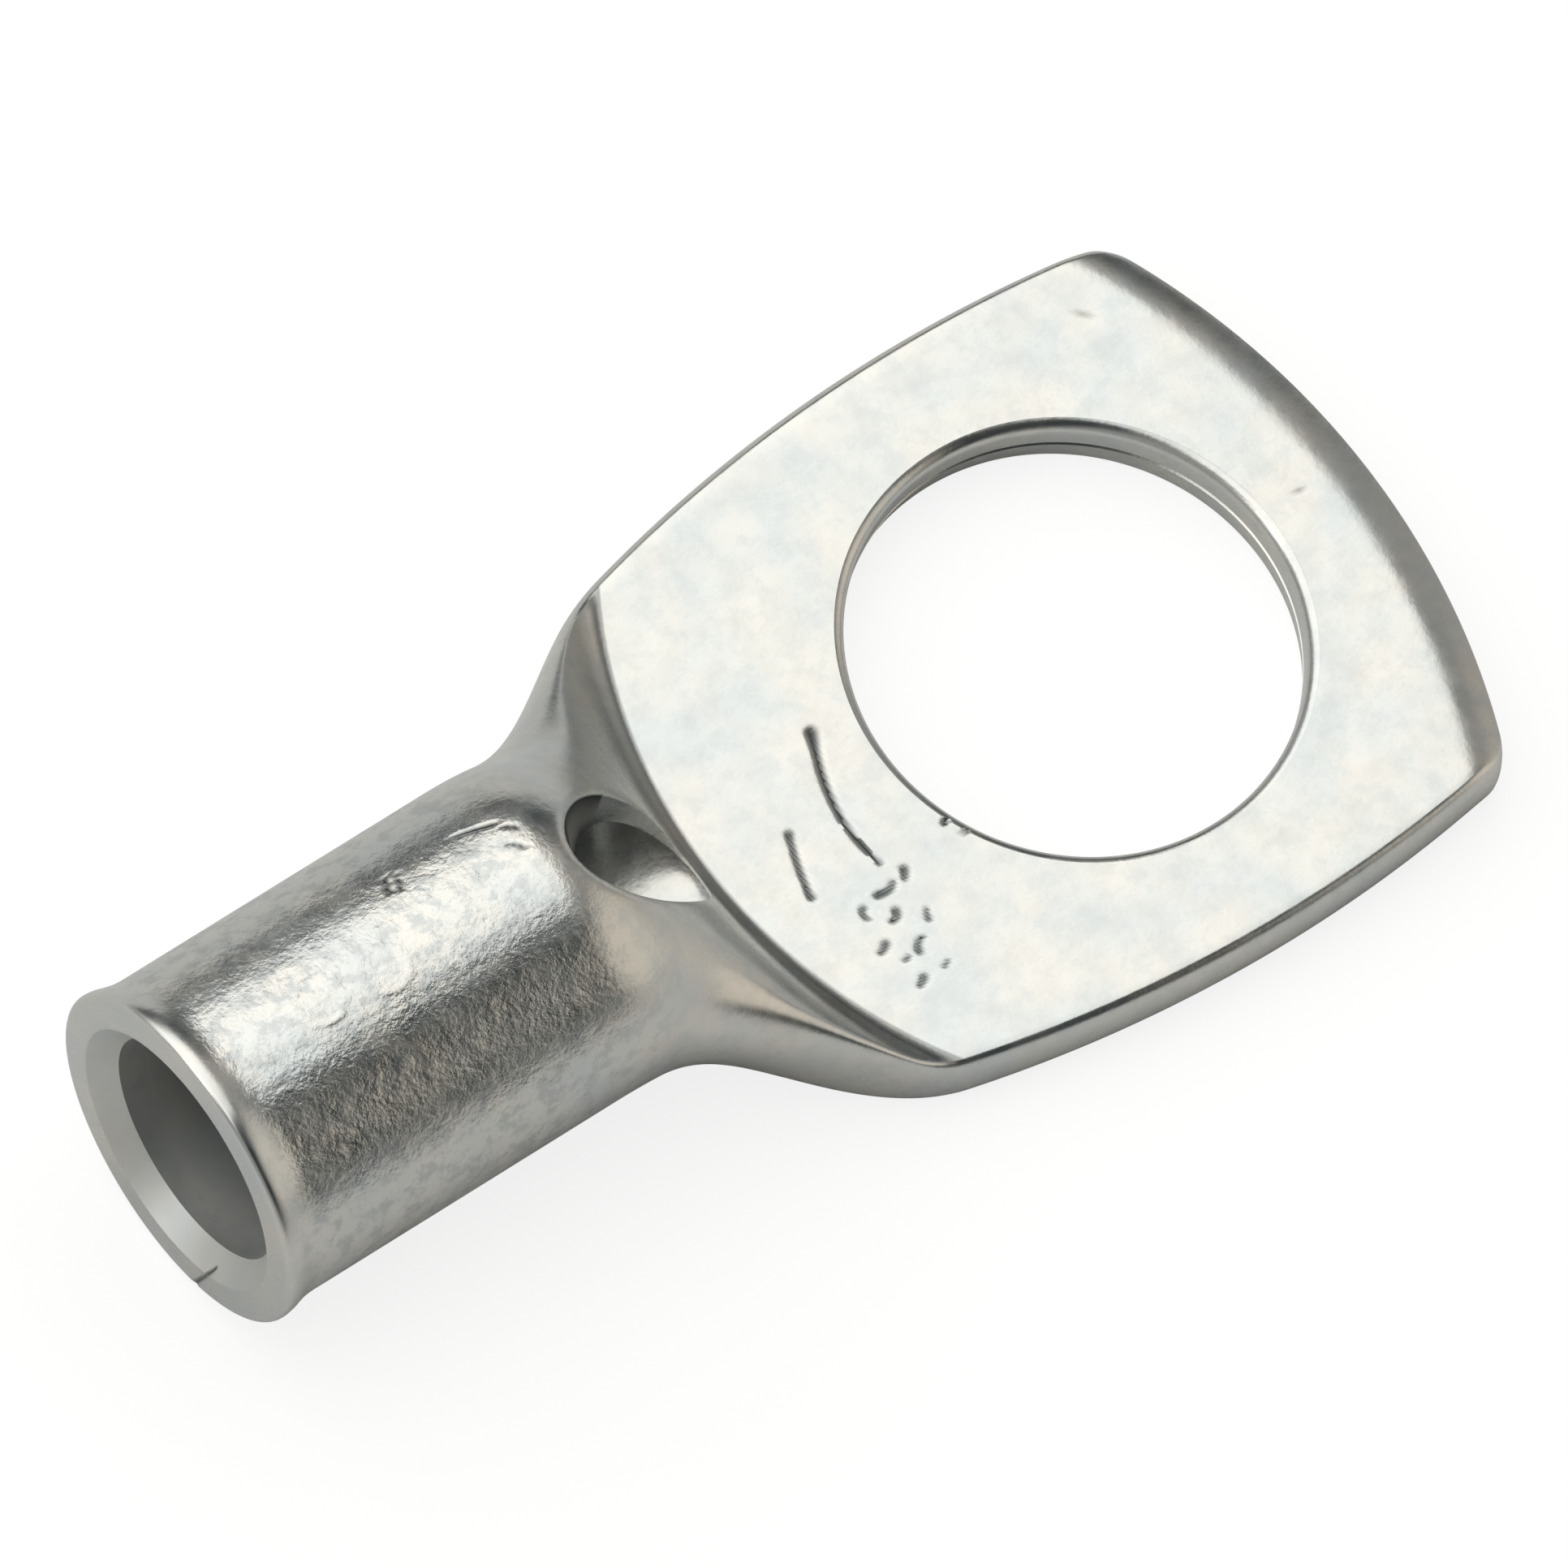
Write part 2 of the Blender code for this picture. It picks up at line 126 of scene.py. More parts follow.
class LugFinish(bpy.types.PropertyGroup):
    """The colours of the tin, of what has settled on it, and of the painted shade."""

    bright_tin: setting(StringProperty, "Bright tin", "#DEDCD6", "Clean tin, in sRGB hex")
    cool_tin: setting(StringProperty, "Cool tin", "#D2D6D6", "Thinner patches of the bath")
    speckle: setting(StringProperty, "Speckle", "#C2C5C4", "Dull spots in the barrel's tin")
    # The colour of the painted shade deep in the bore
    bore_shade: setting(StringProperty, "Bore tin", "#74787A", "Dull tin left inside the bore")
    # Also the colour of the painted shade in the root's crease and under the inspection hole's lip
    grime_and_shade: setting(StringProperty, "Grime", "#454A4B", "What fills scratches and die marks")
    roughness: setting(FloatProperty, "Roughness", 0.26, "Mean roughness of the matt tin",
                       min=0.0, max=1.0, subtype="FACTOR")
    inside_roughness: setting(FloatProperty, "Inside roughness", 0.75,
                              "Roughness where no die has pressed the tube",
                              min=0.0, max=1.0, subtype="FACTOR")


class StudioSettings(bpy.types.PropertyGroup):
    """The camera and the light."""

    azimuth: setting(FloatProperty, "Azimuth", math.radians(-53.138),
                     "Camera's turn about the vertical", subtype="ANGLE")
    elevation: setting(FloatProperty, "Elevation", math.radians(63.85),
                       "Camera's angle above the floor", subtype="ANGLE")
    roll: setting(FloatProperty, "Roll", math.radians(18.339),
                  "Camera's turn about its own line of sight", subtype="ANGLE")
    distance: setting(FloatProperty, "Distance", 1.3, "From the camera to the stud hole",
                      unit="LENGTH")
    pixels_per_mm: setting(FloatProperty, "Pixels per mm", 44.4, "Scale at the stud hole")
    hole_pixel: setting(FloatVectorProperty, "Stud hole pixel", (1327.277, 787.755),
                        "Where the stud hole's centre falls in the frame", size=2)
    floor: setting(StringProperty, "Floor", "#FCFCFC", "Colour of the floor, in sRGB hex")
    key: setting(FloatProperty, "Key light", 1.12, "Radiance of the large softbox", min=0.0)
    fill: setting(FloatProperty, "Fill light", 2.2, "Radiance of the small softbox", min=0.0)


# The photograph's frame
FRAME_PIXELS = 1932
SENSOR_WIDTH = 36.0

# The shares of a rise over which it bends in at its start and settles at its end
SHOULDER_BENDS = (0.9, 0.08)
HOLLOW_BENDS = (0.7, 0.1)
FLATTEN_BENDS = (0.7, 0.2)
FLARE_BENDS = (0.3, 0.6)
TIP_ROLL_POWER = 2.2
HOLE_RIM_LEAN = math.radians(12)

# How finely the shapes are stepped
HOLLOW_STEPS = 24
BORE_STEPS = 11
BEVEL_STEPS = 7
FACE_STEPS = 8
LIP_STEPS = 8
FLARE_STEPS = 14
BARREL_STEPS = 90
SHOULDER_STEPS = 64
MARKED_STEPS = 70
PALM_STEPS = 50
ROLL_STEPS = 10
CORNER_STEPS = 10
HOLE_STEPS = 360
RIM_STEPS = 10
SIGHT_STEPS = 160
SIGHT_CUTTER_RISE = 2.4
SMOOTH_ANGLE = math.radians(35)

# How near a point must lie to a face or an edge to count as on it
LEVEL_MARGIN = 0.02

# Marks on the skin. A burr stands this many half widths beside a stroke.
BURR_PLACE = 1.5
BURR_SHARE = 0.15
# Painted shade in the concave crease at the palm's root: how dark it is, and how far up the slope
# it reaches
CREASE_SHADE = 0.5
CREASE_REACH = 0.5
SIGHT_LIP_DROP = 0.09

# The painted shade under the inspection hole's lip, where the hole looks into the dark hollow:
# the side it lies on, along and across the lug, where it begins and how soon it is full there,
# how far below the skin it starts, how far above the pressed floor it ends, how far from the
# hole's middle it can lie, and how low the row of points under the lip is
LIP_SHADE_SIDE = (-0.45, 0.89)
LIP_SHADE_ONSET = 0.45
LIP_SHADE_RISE = 4.0
LIP_SHADE_DROP = 0.14
LIP_SHADE_CLEARANCE = 0.5
LIP_SHADE_SPREAD = 1.3
SIGHT_LIP_HEIGHT = 0.42

# The stage, in metres
FLOOR_HALF_WIDTH = 1.2
FLOOR_GAP = 0.02 * MM
SOFTBOX_DIRECTION = (-0.13, 0.44, 0.89)
SOFTBOX_DISTANCE = 0.5
SOFTBOX_SIZE = (0.92, 0.80)
FILL_DIRECTION = (-0.85, 0.3, 0.45)
FILL_DISTANCE = 0.5
FILL_SIZE = (0.16, 0.16)
CAMERA_CLIP_END = 10.0

# The softboxes' and the room's colours, and the paper's: what the metal sees of it, and
# what the camera does
SOFTBOX_WHITE = "#FFFFFC"
ROOM_GREY = "#A09E9A"
PAPER_REFLECTED = (0.75, 0.75, 0.75, 1.0)
PAPER_MATT = (0.25, 0.25, 0.25, 1.0)
PAPER_GLOW = 0.85

# Patches of the studio round the lug: where each lies, the cosines of the angles at which it
# fades out and is full, and its colour
STUDIO_PATCHES = (
    ((0.2, -0.62, 0.76), 0.45, 0.85, "#2C3335"),
    ((0.65, 0.72, 0.10), 0.80, 0.96, "#3E4445"),
    ((0.78, -0.52, 0.34), 0.79, 0.97, "#E0D8CC"),
)

# Where along X the tin turns from the pressed palm's smooth skin to the barrel's coarse one
PRESSED_X = -7.0
DRAWN_X = -10.5

# How far in from the mouth the spots begin and are full, the share of the bore's roughness and
# painted shade that its bevel has, how far in the bore the painted shade is full, and how many of
# the inspection hole's half lengths before its middle that painted shade begins to end
CUT_REACH = (0.2, 1.2)
BEVEL_DULLNESS = 0.45
BORE_FADE = 6.0
SIGHT_LIT_REACH = 2.0

# The tin's textures: the size of each pattern, the range of the noise that runs from none
# to full, how deep each bump is, and what the palm keeps of the barrel's coarse skin
CLOUD_SIZE = 2.4
CLOUD_RANGE = (0.35, 0.65)
SPOT_SIZE = 0.6
SPOT_RANGE = (0.48, 0.60)
BATH_SIZE = 0.9
BATH_RANGE = (0.3, 0.7)
BATH_SMOOTHER = 0.04
BATH_ROUGHER = 0.05
GRAIN_SIZE = 0.16
GRAIN_DEPTH = 0.012
RIPPLE_SIZE = 0.5
RIPPLE_DEPTH = 0.034
PALM_COARSENESS = 0.22

# The share of each quarter of a section that goes to its rounded side
EDGE_SHARE = 1 / 3

# Where the points of a section's halves lie, in quarters of a turn from the far side, as
# stops and the steps up to each. They are closest where the die marks and scratches are.
UPPER_STOPS = ((EDGE_SHARE, 10), (0.60, 12), (1.53, 150), (2 - EDGE_SHARE, 9), (2.0, 10))
LOWER_STOPS = ((2 + EDGE_SHARE, 6), (2.5, 4), (2.8, 24), (4 - EDGE_SHARE, 18), (4.0, 6))

# How often a bowed section's width is worked out again to settle
BOW_ROUNDS = 6


def mix(start, end, share):
    """The value a given share of the way from start to end."""
    return start + (end - start) * share


def ramp(share, bends):
    """A rise from 0 to 1 that bends over the first and last shares and is straight between."""
    bend_in, bend_out = bends
    share = min(max(share, 0.0), 1.0)
    steepness = 1 / (1 - bend_in / 2 - bend_out / 2)
    if share < bend_in:
        return steepness * share * share / (2 * bend_in)
    if share > 1 - bend_out:
        return 1 - steepness * (1 - share) ** 2 / (2 * bend_out)
    return steepness * (share - bend_in / 2)


def sagitta(radius, y):
    """How far an arc of this radius falls away from its crown at a distance y to the side."""
    return radius - np.sqrt(radius * radius - y * y)


def arc_radius(half_width, rise):
    """The radius of an arc that rises this far over its half width."""
    return (half_width * half_width + rise * rise) / (2 * rise)


def spread(start, *stops):
    """Places from start through each stop, given as (end, steps)."""
    places = [np.array([start])]
    for end, steps in stops:
        places.append(np.linspace(places[-1][-1], end, steps + 1)[1:])
    return np.concatenate(places)


class LugShape:
    """The lug's sections in millimetres, which the mesh is lofted through."""

    def __init__(self, sizes):
        for name in LugSizes.__annotations__:
            setattr(self, name, getattr(sizes, name) / MM)
        half_hole = self.stud_hole / 2
        self.mouth_x = LOW.x
        self.tip_x = HIGH.x
        self.barrel_end_x = self.mouth_x + self.barrel_length
        self.root_x = self.barrel_end_x + self.shoulder_length
        self.stud_x = self.root_x + self.root_land + half_hole
        self.root_half_width = half_hole + self.root_side_land
        self.tip_half_width = half_hole + self.tip_side_land
        self.bore_radius = self.conductor_bore / 2
        self.barrel_radius = self.bore_radius + self.barrel_wall
        self.axis_z = self.barrel_radius + self.mouth_flare
        self.seam_z = self.palm_thickness / 2
        self.root_arc_radius = arc_radius(self.root_half_width, self.root_arc_rise)
        self.tip_arc_radius = arc_radius(self.tip_half_width, self.tip_arc_rise)
        self.root_corner_x = self.root_x + self.root_arc_rise
        self.tip_corner_x = self.tip_x - self.tip_arc_rise
        self.sight_x = self.root_x - self.sight_to_root
        self.around = np.concatenate([spread(0.0, *UPPER_STOPS),
                                      spread(2.0, *LOWER_STOPS)[1:-1]])

    def section(self, half_width, reach, flatness):
        """One section as (y, share of the height above or below its middle)."""
        around = self.around
        turn = np.pi / 2 * around
        step = around % 2.0
        from_side = np.minimum(step, 2.0 - step)
        lean = np.pi / 2 * np.minimum(from_side / EDGE_SHARE, 1.0)
        at_side = from_side < EDGE_SHARE
        over = (half_width - reach) * (1 - from_side) / (1 - EDGE_SHARE)
        flat_y = np.where(at_side, half_width - reach * (1 - np.cos(lean)), over)
        flat_y = np.where((around > 1) & (around < 3), -flat_y, flat_y)
        flat_z = np.sin(lean) * np.where(around > 2, -1.0, 1.0)
        y = mix(half_width * np.cos(turn), flat_y, flatness)
        return y, mix(np.sin(turn), flat_z, flatness)

    def ring(self, x, half_width, top, bottom, flatness=0.0, reach=0.0, bow=None):
        """One section of the lug as 3-D points. bow gives how far X moves at each y."""
        y, height = self.section(half_width, reach, flatness)
        shift = bow(y) if bow else 0.0
        middle = (top + bottom) / 2
        points = np.empty((len(y), 3))
        points[:, 0] = x + shift
        points[:, 1] = y
        points[:, 2] = middle + (top - bottom) / 2 * height
        return points

    def round_ring(self, x, radius):
        """A round section about the barrel's axis."""
        return self.ring(x, radius, self.axis_z + radius, self.axis_z - radius)

    def palm_bow(self, share):
        """The curve of the palm's cross lines, from the root's arc to the tip's arc."""
        return lambda y: mix(sagitta(self.root_arc_radius, y),
                             -sagitta(self.tip_arc_radius, y), share)

    def root_bow(self, share):
        """How the shoulder's cross lines bend into the root's arc."""
        return lambda y: sagitta(self.root_arc_radius, y) * share * share

    def palm_side(self, x):
        """Half the palm's width at X: an arc that stands side_bulge proud of its chord."""
        span = self.tip_corner_x - self.root_corner_x
        along = x - self.root_corner_x - span / 2
        chord = mix(self.root_half_width, self.tip_half_width, along / span + 0.5)
        return chord + self.side_bulge - sagitta(arc_radius(span / 2, self.side_bulge), along)

    def flank_side(self, x):
        """Half the shoulder's width at X, from the barrel's side to the palm's."""
        if x <= self.barrel_end_x:
            return self.barrel_radius
        span = self.tip_corner_x - self.root_corner_x
        rise = (span / 2) / (arc_radius(span / 2, self.side_bulge) - self.side_bulge)
        slope = (self.tip_half_width - self.root_half_width) / span + rise
        reach = self.root_corner_x - self.barrel_end_x
        share = (x - self.barrel_end_x) / reach
        smooth = share * share * (3 - 2 * share)
        easing = share * share * (share - 1) * reach * slope
        return mix(self.barrel_radius, self.root_half_width, smooth) + easing

    def side_on(self, x, bow, side):
        """Half the width of a bowed section whose middle lies at X."""
        half_width = side(x)
        for _ in range(BOW_ROUNDS):
            half_width = side(min(x + bow(half_width), self.tip_corner_x))
        return half_width

    def hollow_rings(self):
        """The hollow, from its closed end by the pressed floor out to the mouth."""
        rings = []
        start_x = self.barrel_end_x - self.cavity_lead
        end_x = self.root_x - self.cavity_to_root
        half_gap = self.cavity_end_gap / 2
        end_z = self.sight_floor_low + half_gap
        for share in np.linspace(1.0, 0.0, HOLLOW_STEPS + 1):
            fall = ramp(share, HOLLOW_BENDS)
            top = mix(self.axis_z + self.bore_radius, end_z + half_gap, fall)
            bottom = mix(self.axis_z - self.bore_radius, end_z - half_gap, fall)
            x = mix(start_x, end_x, share)
            bow = self.root_bow(share)
            wall = mix(self.barrel_wall, self.cavity_side_wall, share)
            half_width = self.side_on(x, bow, self.flank_side) - wall
            rings.append(self.ring(x, half_width, top, bottom, ramp(share, FLATTEN_BENDS),
                                   (top - bottom) / 2, bow))
        bore = spread(start_x, (self.mouth_x + self.bore_bevel, BORE_STEPS))[1:]
        rings += [self.round_ring(x, self.bore_radius) for x in bore]
        for share in spread(0.0, (1.0, BEVEL_STEPS))[1:]:
            x = mix(self.mouth_x + self.bore_bevel, self.mouth_x, share)
            rings.append(self.round_ring(x, self.bore_radius + self.bore_bevel * share))
        return rings

    def mouth_rings(self):
        """The ring face, the lip's rounded edge and the flare down to the plain barrel."""
        lip = self.barrel_radius + self.mouth_flare
        inner = self.bore_radius + self.bore_bevel
        face = spread(inner, (lip - self.mouth_edge, FACE_STEPS))[1:-1]
        rings = [self.round_ring(self.mouth_x, radius) for radius in face]
        for turn in spread(0.0, (np.pi / 2, LIP_STEPS)):
            radius = lip - self.mouth_edge * (1 - math.sin(turn))
            x = self.mouth_x + self.mouth_edge * (1 - math.cos(turn))
            rings.append(self.round_ring(x, radius))
        for share in spread(0.0, (1.0, FLARE_STEPS))[1:]:
            radius = mix(lip, self.barrel_radius, ramp(share, FLARE_BENDS))
            x = self.mouth_x + mix(self.mouth_edge, self.mouth_flare_length, share)
            rings.append(self.round_ring(x, radius))
        return rings

    def shoulder_top(self, x):
        """The height of the shoulder's ridge at X."""
        start = self.barrel_end_x - self.shoulder_lead
        fall = ramp((x - start) / (self.root_x - start), SHOULDER_BENDS)
        return mix(self.axis_z + self.barrel_radius, self.palm_thickness, fall)

    def barrel_rings(self):
        """The plain barrel, whose ridge begins to fall a little before its end."""
        start = self.mouth_x + self.mouth_flare_length
        places = spread(start, (self.barrel_end_x, BARREL_STEPS))
        bottom = self.axis_z - self.barrel_radius
        return [self.ring(x, self.barrel_radius, self.shoulder_top(x), bottom)
                for x in places[1:-1]]

    def shoulder_rings(self):
        """The pressed shoulder, from the barrel's end to the palm's root."""
        rings = []
        for share in np.linspace(0.0, 1.0, SHOULDER_STEPS + 1):
            x = mix(self.barrel_end_x, self.root_x, share)
            top = self.shoulder_top(x)
            bottom = mix(self.axis_z - self.barrel_radius, 0.0, share)
            bow = self.root_bow(share)
            half_width = self.side_on(x, bow, self.flank_side)
            reach = mix((top - bottom) / 2, self.side_edge_reach, share)
            rings.append(self.ring(x, half_width, top, bottom, ramp(share, FLATTEN_BENDS),
                                   reach, bow))
        return rings

    def palm_rings(self):
        """The palm, from just past its root to its rounded tip."""
        roll_x = self.tip_x - self.tip_roll_length
        marked = self.root_land / (roll_x - self.root_x)
        rings = []
        for share in spread(0.0, (marked, MARKED_STEPS), (1.0, PALM_STEPS))[1:]:
            bow = self.palm_bow(share)
            x = mix(self.root_x, roll_x, share)
            rings.append(self.ring(x, self.side_on(x, bow, self.palm_side),
                                   self.palm_thickness, 0.0, 1.0, self.side_edge_reach, bow))
        bow = self.palm_bow(1.0)
        fall = spread(self.tip_roll_length, (self.tip_corner_radius, ROLL_STEPS))[1:-1]
        corner = self.tip_corner_radius * (1 - np.sin(spread(0.0, (np.pi / 2, CORNER_STEPS))))
        for distance in np.concatenate([fall, corner]):
            x = self.tip_x - distance
            inward = max(self.tip_corner_radius - distance, 0.0)
            half_width = (self.side_on(x, bow, self.palm_side)
                          - sagitta(self.tip_corner_radius, inward))
            foot = sagitta(self.tip_foot_radius, max(self.tip_foot_radius - distance, 0.0))
            share = max(1 - distance / self.tip_roll_length, 0.0)
            top = self.palm_thickness - self.tip_roll_depth * share ** TIP_ROLL_POWER
            rings.append(self.ring(x, half_width, top, foot, 1.0, self.side_edge_reach, bow))
        return rings

    def rings(self):
        """Every section of the lug, from the hollow's closed end out and round to the tip."""
        return np.array(self.hollow_rings() + self.mouth_rings() + self.barrel_rings()
                        + self.shoulder_rings() + self.palm_rings())

    def sight_outline(self):
        """The inspection hole in plan."""
        turn = np.linspace(0.0, 2 * np.pi, SIGHT_STEPS, endpoint=False)
        return np.column_stack([self.sight_x + self.sight_length / 2 * np.cos(turn),
                                self.sight_width / 2 * np.sin(turn)])

    def skin_height(self, x, y):
        """The height of the shoulder's skin near its ridge."""
        share = (x - self.barrel_end_x) / self.shoulder_length
        inner = max(share, 0.0)
        ridge_x = x - float(sagitta(self.root_arc_radius, y)) * inner * inner
        round_drop = float(sagitta(self.barrel_radius, y))
        return self.shoulder_top(ridge_x) - mix(round_drop, 0.0, ramp(share, FLATTEN_BENDS))


def close_flat(vertices, faces, first, around, rows):
    """Close a flattened ring with strips between its upper and lower halves.

    rows gives each strip's line between the halves, as (share of the way down, shift in X).
    """
    count = len(around)
    half = int(np.argmin(abs(around - 2.0)))
    ring_points = np.array(vertices[first:first + count])
    middle = (ring_points[:, 2].max() + ring_points[:, 2].min()) / 2
    lower_turn = np.append(around[half:], 4.0)
    previous = None
    for index in range(half + 1):
        nearest = int(np.argmin(abs(lower_turn - (4.0 - around[index]))))
        lower = first + (half + nearest) % count
        column = [first + index]
        if lower != first + index:
            x, y, z = ring_points[index]
            for share, shift in rows:
                column.append(len(vertices))
                vertices.append(np.array([x + shift, y, mix(z, 2 * middle - z, share)]))
            column.append(lower)
        if previous:
            faces.extend(strip_faces(previous, column))
        previous = column


def strip_faces(first, second):
    """Faces between two columns of a flat end, which may each be a single point."""
    size = max(len(first), len(second))
    first = first * size if len(first) == 1 else first
    second = second * size if len(second) == 1 else second
    faces = []
    for row in range(size - 1):
        corners = [first[row], second[row], second[row + 1], first[row + 1]]
        corners = list(dict.fromkeys(corners))
        if len(corners) > 2:
            faces.append(corners)
    return faces


def row_quads(rows, count):
    """Faces between rows of points, where each row closes on itself."""
    names = np.arange(rows * count).reshape(rows, count)
    following = np.roll(names, -1, axis=1)
    quads = np.stack([names[:-1], names[1:], following[1:], following[:-1]], axis=-1)
    return quads.reshape(-1, 4).tolist()


def loft(rings, around, end_rows):
    """Vertices and faces through all the rings, closed at both flattened ends."""
    steps, count = rings.shape[:2]
    vertices = list(rings.reshape(-1, 3))
    faces = row_quads(steps, count)
    close_flat(vertices, faces, 0, around, [])
    close_flat(vertices, faces, (steps - 1) * count, around, end_rows)
    return vertices, faces


# The die marks and scratches, in millimetres. A stroke is a bent line of three points, its half
# width at the start and at the end, and its depth; places on the palm are measured from the stud
# hole's centre, and places on the barrel are along X and round the barrel towards +Y.
PALM_STROKES = (
    (-7.92, 1.75, -9.2, -0.6, -8.7, -2.5, 0.19, 0.10, 0.08),
    (-7.95, 1.75, -8.1, 1.4, -8.25, 1.1, 0.29, 0.15, 0.07),
    (-10.33, -0.41, -10.7, -1.2, -10.95, -2.25, 0.15, 0.14, 0.05),
    (-10.33, -0.41, -10.38, -0.5, -10.42, -0.62, 0.22, 0.15, 0.05),
    (-10.9, -2.0, -10.95, -2.15, -10.95, -2.3, 0.12, 0.19, 0.05),
    (-8.25, -3.0, -8.3, -3.15, -8.42, -3.25, 0.20, 0.12, 0.05),
    (-8.75, -3.15, -8.95, -3.4, -9.35, -3.25, 0.11, 0.20, 0.05),
    (-9.2, -3.9, -9.25, -4.15, -9.5, -4.1, 0.19, 0.12, 0.05),
    (-9.95, -3.35, -10.1, -3.45, -10.02, -3.7, 0.18, 0.10, 0.04),
    (-9.05, -4.95, -9.3, -4.95, -9.4, -5.25, 0.10, 0.18, 0.04),
    (-10.05, -4.55, -10.2, -4.7, -10.35, -4.7, 0.20, 0.13, 0.04),
    (-9.75, -5.95, -9.85, -6.05, -10.0, -6.1, 0.18, 0.12, 0.05),
    (-8.45, -4.3, -8.55, -4.4, -8.6, -4.6, 0.10, 0.16, 0.03),
    (-9.75, -5.2, -9.8, -5.25, -9.9, -5.25, 0.11, 0.13, 0.03),
    (-8.9, -5.9, -9.0, -5.95, -9.1, -6.0, 0.10, 0.12, 0.02),
    (-6.40, -2.46, -6.44, -2.48, -6.50, -2.50, 0.16, 0.10, 0.08),
    (-6.02, -3.02, -6.08, -3.04, -6.14, -3.08, 0.16, 0.10, 0.08),
    (6.2, 7.88, 6.2, 7.9, 6.2, 7.92, 0.15, 0.15, 0.04),
    (8.05, 0.28, 8.1, 0.3, 8.2, 0.35, 0.12, 0.08, 0.03),
)
BARREL_STROKES = (
    (-12.95, 2.0, -12.85, 2.3, -12.7, 2.6, 0.16, 0.11, 0.05),
    (-12.65, 1.9, -12.5, 2.2, -12.4, 2.45, 0.14, 0.09, 0.04),
    (-10.4, 2.55, -9.9, 2.4, -9.3, 2.15, 0.08, 0.13, 0.05),
    (-9.15, 1.9, -8.95, 1.8, -8.8, 1.5, 0.08, 0.12, 0.04),
    (-9.45, 1.3, -9.25, 1.2, -9.1, 0.9, 0.06, 0.12, 0.04),
)
# The nick in the mouth, across the lug and up from the barrel's axis
MOUTH_STROKES = (
    (-1.88, -4.7, -2.12, -3.9, -2.28, -3.25, 0.13, 0.08, 0.07),
)
# Small raised rings on the barrel: the middle of each and its radius
BARREL_RINGS = (((-16.7, 0.24), 0.7), ((-14.6, 0.05), 0.7))
RING_HALF_WIDTH = 0.16
RING_HEIGHT = 0.02
STROKE_STEPS = 12


def bent_line(corners):
    """Points along the smooth curve that starts at the first corner and ends at the last."""
    start, bend, end = np.reshape(corners, (3, 2))
    share = np.linspace(0.0, 1.0, STROKE_STEPS + 1)[:, None]
    return (1 - share) ** 2 * start + 2 * share * (1 - share) * bend + share ** 2 * end


def distance_to_line(places, line):
    """How far each place lies from a line of points, and how far along it the nearest point is."""
    nearest = np.full(len(places), np.inf)
    travelled = np.zeros(len(places))
    for number, (start, end) in enumerate(zip(line, line[1:])):
        along = end - start
        share = np.clip((places - start) @ along / (along @ along), 0.0, 1.0)
        gap = np.linalg.norm(places - start - share[:, None] * along, axis=1)
        travelled = np.where(gap < nearest, (number + share) / (len(line) - 1), travelled)
        nearest = np.minimum(nearest, gap)
    return nearest, travelled


def inside_line(places, line):
    """Whether each place lies inside a closed line of points."""
    x, y = places.T
    inside = np.zeros(len(places), bool)
    for (x0, y0), (x1, y1) in zip(line, np.roll(line, -1, axis=0)):
        crosses = (y0 > y) != (y1 > y)
        reach = (x1 - x0) * (y - y0) / (y1 - y0 if y1 != y0 else 1.0) + x0
        inside ^= crosses & (x < reach)
    return inside


def dome(distance, reach):
    """1 at no distance, falling smoothly to 0 at the reach."""
    return np.clip(1 - (distance / reach) ** 2, 0.0, 1.0) ** 2


def press_strokes(places, strokes):
    """The depth that strokes leave at each place, and how much grime settles in them."""
    depth = np.zeros(len(places))
    grime_and_shade = np.zeros(len(places))
    for *corners, first_width, last_width, deepest in strokes:
        gap, along = distance_to_line(places, bent_line(corners))
        half_width = mix(first_width, last_width, along)
        burr = dome(gap - BURR_PLACE * half_width, half_width) * BURR_SHARE
        depth = np.maximum(depth, deepest * dome(gap, half_width)) - deepest * burr
        grime_and_shade = np.maximum(grime_and_shade, dome(gap, half_width))
    return depth, grime_and_shade


